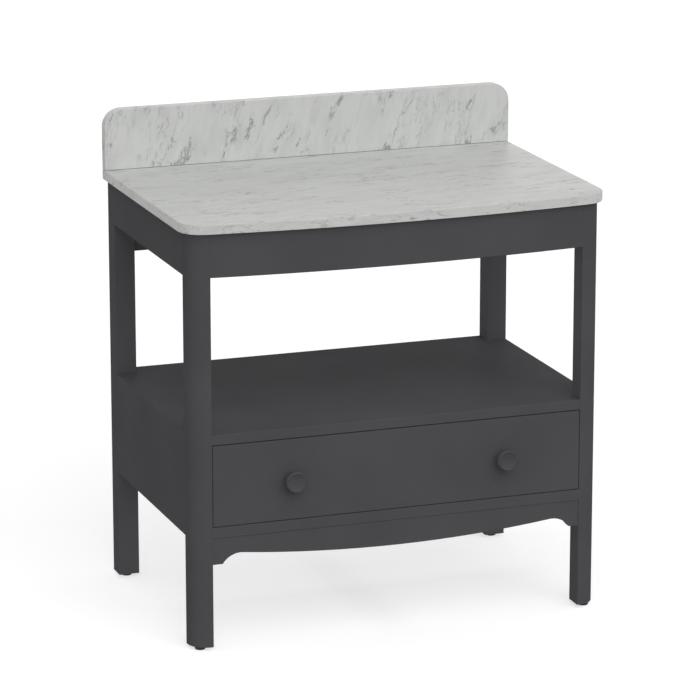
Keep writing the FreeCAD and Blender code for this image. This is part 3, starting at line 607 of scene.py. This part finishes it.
# %% [markdown]
# ## Dressing the solids
# Each solid knows which finish it wants: its record names a material slot. A painter works along a piece,
# and a joiner cuts it along the grain, so both run with its longest side. We could list the direction of
# every piece by hand. Measuring each solid's box and picking the finish of that direction never misses one.

# %% Dress the solids
def long_axis(node):
    """The axis along which a solid is longest."""
    low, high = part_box(node)
    sizes = high - low
    return "XYZ"[max(range(3), key=lambda i: sizes[i])]


def finish_of(node, slot):
    """The material of one solid."""
    if slot == "painted_timber":
        return paints[long_axis(node)]
    if slot == "bare_timber":
        return softwood[long_axis(node)]
    if slot == "drawer_timber":
        return drawer_wood[long_axis(node)]
    if slot == "marble":
        return upstand_stone if node == "upstand" else worktop_stone
    return {"zinc_steel": steel, "silicone": silicone, "glide_plastic": glide_plastic}[slot]


for part in frame["record"]["subparts"]:
    solid = nodes[part["node"]]
    solid.data.materials.clear()
    solid.data.materials.append(finish_of(part["node"], part["material_slot"]))

# %% [markdown]
# ## Finding the screws
# Zinc-plated pan-head screws hold the drawer front, the knobs, the corner blocks and the runners. Their
# solids have plain round heads: enough to weigh them, but bare when seen close, so we make each one anew.
# We could type in where every screw sits, but the solids know it already. Several screws share a node, so
# we walk from point to point along the edges to part them. Then the longest side of a screw is its axis,
# and its wide end is the head.

# %% Find the screws
import bmesh

WELD = 0.000001
SHANK_RADIUS = 0.0020
HEAD_RADIUS = 0.0040
HEAD_HEIGHT = 0.0018


def solids_in(node):
    """The points of each separate solid in a node, from its first point on."""
    shape = bmesh.new()
    shape.from_mesh(nodes[node].data)
    bmesh.ops.remove_doubles(shape, verts=shape.verts, dist=WELD)
    shape.verts.index_update()
    seen, solids = set(), []
    for first in shape.verts:
        if first.index in seen:
            continue
        seen.add(first.index)
        reached = [first]
        for point in reached:
            near = [edge.other_vert(point) for edge in point.link_edges]
            fresh = [other for other in near if other.index not in seen]
            seen.update(other.index for other in fresh)
            reached.extend(dict.fromkeys(fresh))
        solids.append([point.co.copy() for point in reached])
    shape.free()
    return solids


def screw_seats(node):
    """For each screw of a node: the middle of its seat, the way it goes in and its shank's length."""
    seats = []
    for points in solids_in(node):
        low = Vector([min(point[i] for point in points) for i in range(3)])
        high = Vector([max(point[i] for point in points) for i in range(3)])
        axis = max(range(3), key=lambda i: high[i] - low[i])
        way = Vector([float(i == axis) for i in range(3)])
        seat = (low + high) / 2
        beside = [(point[axis], (point - seat - way * (point - seat)[axis]).length) for point in points]
        head = [place for place, off in beside if off > (SHANK_RADIUS + HEAD_RADIUS) / 2]
        if high[axis] - max(head) > min(head) - low[axis]:
            seat[axis] = max(head)
            length = high[axis] - max(head)
        else:
            seat[axis] = min(head)
            length = min(head) - low[axis]
            way = -way
        seats.append((seat, way, length))
    return seats


screw_nodes = [name for name in nodes if "screws" in name]
print("screws:", {node: len(screw_seats(node)) for node in screw_nodes})

# %% [markdown]
# ## Turning the screws
# A pan head has low sides, a domed top and a cross for the driver. A boolean cut would give that cross and
# a lot of untidy triangles. It is cleaner to turn the screw as rings, leave a small flat on the dome, fill
# it round the outline of a cross, and push that outline down.

# %% Turn the screws
from mathutils import Matrix

TURNS = 24
TIP_LENGTH = 0.004
TIP_RADIUS = 0.0004
HEAD_SIDE = 0.35
FLAT_RADIUS = 0.0027
DOME_STEPS = 5
CROSS_ARM, CROSS_HALF = 0.0021, 0.00042
CROSS_DEPTH = 0.0012
CROSS_TAPER = 0.5


def rings(shape, profile):
    """Rings of points round Z for pairs of radius and height, joined by faces."""
    made = []
    for radius, height in profile:
        angles = [2.0 * math.pi * k / TURNS for k in range(TURNS)]
        made.append([shape.verts.new((radius * math.cos(a), radius * math.sin(a), height)) for a in angles])
    for lower, upper in zip(made, made[1:]):
        for k in range(TURNS):
            shape.faces.new((lower[k - 1], lower[k], upper[k], upper[k - 1]))
    return made


def loop_edges(shape, loop):
    """The edges round a loop of points, made where they are missing."""
    pairs = zip(loop, loop[1:] + loop[:1])
    return [shape.edges.get(pair) or shape.edges.new(pair) for pair in pairs]


def cross_loop(shape, height, size):
    """The outline of a driver's cross."""
    corner = [(CROSS_ARM, -CROSS_HALF), (CROSS_ARM, CROSS_HALF), (CROSS_HALF, CROSS_HALF)]
    quarters = [Matrix.Rotation(k * math.pi / 2, 2) for k in range(4)]
    places = [quarter @ Vector(point) * size for quarter in quarters for point in corner]
    return [shape.verts.new((place.x, place.y, height)) for place in places]


def turn_screw(shape, length):
    """A pan-head screw with its seat at the origin and its shank along -Z."""
    profile = [(TIP_RADIUS, -length), (SHANK_RADIUS, TIP_LENGTH - length), (SHANK_RADIUS, 0.0)]
    flat_turn = math.acos(FLAT_RADIUS / HEAD_RADIUS)
    profile.append((HEAD_RADIUS, 0.0))
    for step in range(DOME_STEPS + 1):
        turn = flat_turn * step / DOME_STEPS
        share = HEAD_SIDE + (1.0 - HEAD_SIDE) * math.sin(turn) / math.sin(flat_turn)
        profile.append((HEAD_RADIUS * math.cos(turn), HEAD_HEIGHT * share))
    made = rings(shape, profile)
    shape.faces.new(list(reversed(made[0])))
    top = cross_loop(shape, HEAD_HEIGHT, 1.0)
    floor_loop = cross_loop(shape, HEAD_HEIGHT - CROSS_DEPTH, CROSS_TAPER)
    rim = loop_edges(shape, made[-1]) + loop_edges(shape, top)
    bmesh.ops.triangle_fill(shape, use_beauty=True, edges=rim, normal=(0.0, 0.0, 1.0))
    for k in range(len(top)):
        shape.faces.new((top[k], top[k - 1], floor_loop[k - 1], floor_loop[k]))
    shape.faces.new(floor_loop)


head_mm, cross_mm = (round(2 * reach * 1000, 1) for reach in (HEAD_RADIUS, CROSS_ARM))
print("a screw head is", head_mm, "mm across and its cross", cross_mm, "mm")

# %% [markdown]
# ## Setting the screws
# Each screw is turned at the origin and then carried to its seat. One object for each screw would fill the
# scene with small things, so the screws of a node stay together in one mesh, which rides on that node's
# body: those in the drawer then travel with it. A fitter stops each screw at another angle, so each is spun
# a step further than the one before.

# %% Set the screws
SMOOTH_UP_TO = math.radians(35.0)
SPIN_STEP = math.radians(37.0)
bodies = frame["record"]["behaviour"]["bodies"]
body_of_node = {node: body for body, held in bodies.items() for node in held}


def steel_piece(name, shape, node):
    """A finished steel piece that stands for a node and moves with its body."""
    bmesh.ops.recalc_face_normals(shape, faces=shape.faces)
    mesh = bpy.data.meshes.new(name)
    shape.to_mesh(mesh)
    shape.free()
    mesh.shade_smooth()
    mesh.set_sharp_from_angle(angle=SMOOTH_UP_TO)
    mesh.materials.append(steel)
    piece = bpy.data.objects.new(name, mesh)
    bpy.context.scene.collection.objects.link(piece)
    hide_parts(node)
    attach(piece, body_of_node[node])
    return piece


for node in screw_nodes:
    whole = bmesh.new()
    for number, (seat, way, length) in enumerate(screw_seats(node)):
        before = len(whole.verts)
        turn_screw(whole, length)
        whole.verts.ensure_lookup_table()
        spun = Matrix.Rotation(number * SPIN_STEP, 4, "Z")
        place = Matrix.Translation(seat) @ (-way).to_track_quat("Z", "Y").to_matrix().to_4x4() @ spun
        bmesh.ops.transform(whole, matrix=place, verts=whole.verts[before:])
    made_screws = steel_piece(f"cross_{node}", whole, node)
    print(made_screws.name, "faces:", len(made_screws.data.polygons))

# %% [markdown]
# ## Telescopic runners
# Each runner is three strips of steel, folded into channels that slide in one another. The solids have
# square folds. Sheet metal can't fold square: it bends round a small radius, and that radius catches the
# light along the whole strip. A bevel could round the solid's corners, but the section is so simple that
# we draw its outline with round folds, ready to be pulled along the drawer.

# %% Folded section
SHEET = 0.0012
FOLD_INSIDE = 0.0010
FOLD_STEPS = 5


def fold(centre, radius, first_turn):
    """Points round a quarter of a fold, as depth and height."""
    turns = [first_turn + math.pi / 2 * step / FOLD_STEPS for step in range(FOLD_STEPS + 1)]
    return [(centre[0] + radius * math.cos(turn), centre[1] + radius * math.sin(turn)) for turn in turns]


def channel_section(depth, height):
    """The outline of a channel, and the two places in it where a flat of its web ends."""
    outside = SHEET + FOLD_INSIDE
    half = height / 2
    upper, lower = (outside, half - outside), (outside, outside - half)
    skin = [(depth, half)] + fold(upper, outside, math.pi / 2)
    outer_flat = len(skin)
    skin += fold(lower, outside, math.pi) + [(depth, -half)]
    lining = [(depth, SHEET - half)] + fold(lower, FOLD_INSIDE, math.pi)[::-1]
    inner_flat = len(skin) + len(lining)
    lining += fold(upper, FOLD_INSIDE, math.pi / 2)[::-1] + [(depth, half - SHEET)]
    return skin + lining, (outer_flat, inner_flat)


print("runner sheet", SHEET * 1000, "mm, folded round", FOLD_INSIDE * 1000, "mm")

# %% [markdown]
# ## Holes and slots
# The strips are punched before they are folded: round holes for the screws, and slots, some long and some
# tall, that let the fitter shift the drawer a little. Booleans would cut them and leave slivers beside the
# folds. The web of a channel is flat, so we lay the outlines of the holes on it and fill the sheet between
# them and its edges.

# %% Punched holes
HOLE_RADIUS = 0.0022
SLOT_HALF = 0.0055
HOLE_STEPS = 6


def hole_outline(kind):
    """Points round a hole's own middle: a round hole, or a slot that is long or tall."""
    reach = 0.0 if kind == "round" else SLOT_HALF - HOLE_RADIUS
    steps = HOLE_STEPS if kind == "round" else HOLE_STEPS + 1
    points = []
    for end, first_turn in ((1.0, -math.pi / 2), (-1.0, math.pi / 2)):
        for step in range(steps):
            turn = first_turn + math.pi * step / HOLE_STEPS
            over = end * reach + HOLE_RADIUS * math.cos(turn)
            up = HOLE_RADIUS * math.sin(turn)
            points.append((up, over) if kind == "tall" else (over, up))
    return points


def punched_flat(strip, corners, holes, x):
    """Fill one flat of a web round its holes, and give back the loops round the holes."""
    loops = [[strip.verts.new((x, y, z)) for y, z in hole] for hole in holes]
    edges = loop_edges(strip, corners)
    for loop in loops:
        edges += loop_edges(strip, loop)
    bmesh.ops.triangle_fill(strip, use_beauty=True, edges=edges)
    return loops


print("points round a hole:", {kind: len(hole_outline(kind)) for kind in ("round", "long", "tall")})

# %% [markdown]
# ## Pulling the strips
# Now each section is pulled from one end of its runner to the other. The ends are filled, both flats of
# the web are punched, and short walls join each hole to its twin. We could place every hole by hand. The
# round ones must meet the screws, though, so their places are read from the screws, and only the slots are
# given, as shares of the strip's length.

# %% Runner strips
SLOT_SHARES = {
    "outer": {0.06: "tall", 0.28: "long", 0.39: "tall", 0.61: "long", 0.72: "tall", 0.94: "long"},
    "middle": {0.05: "tall", 0.22: "long", 0.36: "long", 0.64: "long", 0.78: "long", 0.95: "tall"},
    "inner": {0.05: "long", 0.28: "tall", 0.39: "long", 0.61: "tall", 0.72: "long", 0.95: "tall"},
}
SCREWED_BY = {"outer": "runner_screws_cabinet", "inner": "runner_screws_drawer"}


def runner_strip(name, node, punched):
    """A folded strip in the place of a runner's solid, punched at some places with kinds of hole."""
    low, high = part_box(node)
    on_right = low.x > 0.0
    web_x, lip_x = (low.x, high.x) if ("inner" in node) == on_right else (high.x, low.x)
    into = math.copysign(1.0, lip_x - web_x)
    middle = (low.z + high.z) / 2
    section, flats = channel_section(high.x - low.x, high.z - low.z)
    strip = bmesh.new()
    ends = []
    for y in (low.y, high.y):
        ends.append([strip.verts.new((web_x + into * depth, y, middle + up)) for depth, up in section])
    front, back = ends
    for k in range(len(section)):
        if k not in flats:
            strip.faces.new((front[k - 1], front[k], back[k], back[k - 1]))
    for end in ends:
        bmesh.ops.triangle_fill(strip, use_beauty=True, edges=loop_edges(strip, end))
    holes = [[(y + over, middle + up) for over, up in hole_outline(kind)] for y, kind in punched]
    walls = []
    for k in flats:
        corners = [front[k - 1], front[k], back[k], back[k - 1]]
        walls.append(punched_flat(strip, corners, holes, web_x + into * section[k][0]))
    for near_loop, far_loop in zip(*walls):
        for k in range(len(near_loop)):
            strip.faces.new((near_loop[k - 1], near_loop[k], far_loop[k], far_loop[k - 1]))
    return steel_piece(name, strip, node)


for member, slots in SLOT_SHARES.items():
    seats = screw_seats(SCREWED_BY[member]) if member in SCREWED_BY else []
    for side in ("left", "right"):
        node = f"runner_{member}_{side}"
        low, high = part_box(node)
        punched = [(low.y + share * (high.y - low.y), kind) for share, kind in slots.items()]
        punched += [(seat.y, "round") for seat, way, length in seats if seat.x * low.x > 0.0]
        made_strip = runner_strip(f"folded_{node}", node, punched)
        print(made_strip.name, "holes:", len(punched), "faces:", len(made_strip.data.polygons))

# %% [markdown]
# ## Sizes
# The new pieces must not make the washstand larger than its solids. The eye can't see half a millimetre in
# a picture.
